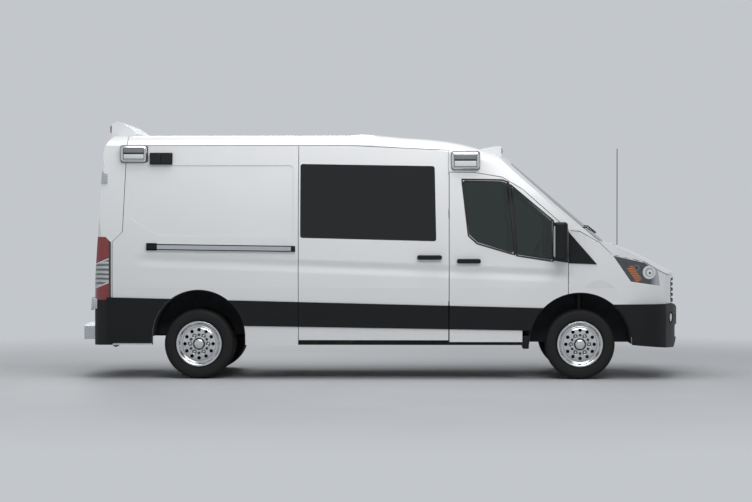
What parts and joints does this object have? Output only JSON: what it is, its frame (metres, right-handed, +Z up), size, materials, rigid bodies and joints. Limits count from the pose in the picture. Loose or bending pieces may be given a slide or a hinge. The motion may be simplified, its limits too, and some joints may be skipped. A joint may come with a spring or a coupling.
{
  "type": "ambulance",
  "caption": "Panel-van ambulance with raised roof, side sliding door, hinged cab and tail doors, lifting hood, steered front wheels and twin rear wheels.",
  "frame": {"origin": "on the ground, under the middle of the vehicle's bounding box", "axes": "+X to the front, +Y to the vehicle's left, +Z up"},
  "size_m": [5.9798, 2.474, 2.55],
  "materials": {
    "paint_white": "gloss white coat",
    "glass_dark": "dark tinted, polished",
    "trim_black": "moulded, fine grain",
    "tyre_rubber": "matt black",
    "wheel_bright": "polished stainless",
    "frame_black": "satin black",
    "steel": "brushed",
    "lamp_clear": "clear moulded lens",
    "lamp_red": "red and clear moulded lens",
    "cab_plastic": "grained",
    "seat_cloth": "woven cloth"
  },
  "bodies": {
    "body": {"floor_pan": "frame_black", "roof_panel": "paint_white", "side_panel_right": "paint_white", "side_panel_left": "paint_white", "sliding_door": "paint_white", "sliding_door_glass": "glass_dark", "cab_frame": "paint_white", "windscreen": "glass_dark", "wing_right": "paint_white", "wing_left": "paint_white", "headlamps": "lamp_clear", "grille": "trim_black", "rear_frame": "paint_white", "tail_lamps": "lamp_red", "wheelhouses": "trim_black", "front_bumper": "trim_black", "chassis_frame": "frame_black", "rear_axle": "frame_black", "drive_line": "frame_black", "exhaust": "steel", "fuel_tank": "frame_black", "bulkheads": "cab_plastic", "dashboard": "cab_plastic", "steering_wheel": "cab_plastic", "seats": "seat_cloth", "side_trim": "trim_black", "warning_lamps": "lamp_clear", "scene_lights": "trim_black", "lamp_fairings": "paint_white", "slide_rail": "steel", "tail_step": "steel", "antenna": "trim_black"},
    "front_door_right": {"front_door_right": "paint_white", "front_door_glass_right": "glass_dark", "door_trim_right": "trim_black", "mirror_right": "trim_black"},
    "front_door_left": {"front_door_left": "paint_white", "front_door_glass_left": "glass_dark", "door_trim_left": "trim_black", "mirror_left": "trim_black"},
    "rear_door_right": {"rear_door_right": "paint_white", "rear_door_glass_right": "glass_dark"},
    "rear_door_left": {"rear_door_left": "paint_white", "rear_door_glass_left": "glass_dark"},
    "hood": {"hood": "paint_white"},
    "knuckle_right": {"knuckle_right": "frame_black"},
    "front_wheel_right": {"front_wheel_right": "wheel_bright", "front_tyre_right": "tyre_rubber"},
    "rear_wheel_right": {"rear_wheels_right": "wheel_bright", "rear_tyres_right": "tyre_rubber"},
    "knuckle_left": {"knuckle_left": "frame_black"},
    "front_wheel_left": {"front_wheel_left": "wheel_bright", "front_tyre_left": "tyre_rubber"},
    "rear_wheel_left": {"rear_wheels_left": "wheel_bright", "rear_tyres_left": "tyre_rubber"}
  },
  "joints": [
    {"name": "front_door_right_hinge", "type": "hinge", "parent": "body", "child": "front_door_right", "pos_m": [1.853, -1.028, 1], "axis": [0, 0, 1], "range_deg": [0, 70]},
    {"name": "front_door_left_hinge", "type": "hinge", "parent": "body", "child": "front_door_left", "pos_m": [1.853, 1.028, 1], "axis": [0, 0, -1], "range_deg": [0, 70]},
    {"name": "rear_door_right_hinge", "type": "hinge", "parent": "body", "child": "rear_door_right", "pos_m": [-2.835, -0.912, 0.8], "axis": [0.0817, 0, 0.9967], "range_deg": [0, 180]},
    {"name": "rear_door_left_hinge", "type": "hinge", "parent": "body", "child": "rear_door_left", "pos_m": [-2.835, 0.912, 0.8], "axis": [-0.0817, 0, -0.9967], "range_deg": [0, 180]},
    {"name": "hood_hinge", "type": "hinge", "parent": "body", "child": "hood", "pos_m": [2.155, 0, 1.42], "axis": [0, -1, 0], "range_deg": [0, 55]},
    {"name": "steer_right", "type": "hinge", "parent": "body", "child": "knuckle_right", "pos_m": [1.967, -0.735, 0.345], "axis": [0, 0, 1], "range_deg": [-35, 35]},
    {"name": "front_wheel_right_spin", "type": "hinge", "parent": "knuckle_right", "child": "front_wheel_right", "pos_m": [1.967, -0.87, 0.345], "axis": [0, 1, 0], "continuous": true},
    {"name": "rear_wheel_right_spin", "type": "hinge", "parent": "body", "child": "rear_wheel_right", "pos_m": [-1.783, -0.755, 0.345], "axis": [0, 1, 0], "continuous": true},
    {"name": "steer_left", "type": "hinge", "parent": "body", "child": "knuckle_left", "pos_m": [1.967, 0.735, 0.345], "axis": [0, 0, 1], "range_deg": [-35, 35]},
    {"name": "front_wheel_left_spin", "type": "hinge", "parent": "knuckle_left", "child": "front_wheel_left", "pos_m": [1.967, 0.87, 0.345], "axis": [0, 1, 0], "continuous": true},
    {"name": "rear_wheel_left_spin", "type": "hinge", "parent": "body", "child": "rear_wheel_left", "pos_m": [-1.783, 0.755, 0.345], "axis": [0, 1, 0], "continuous": true}
  ],
  "couplings": [
    {"joint": "steer_left", "follows": "steer_right", "ratio": 1}
  ]
}
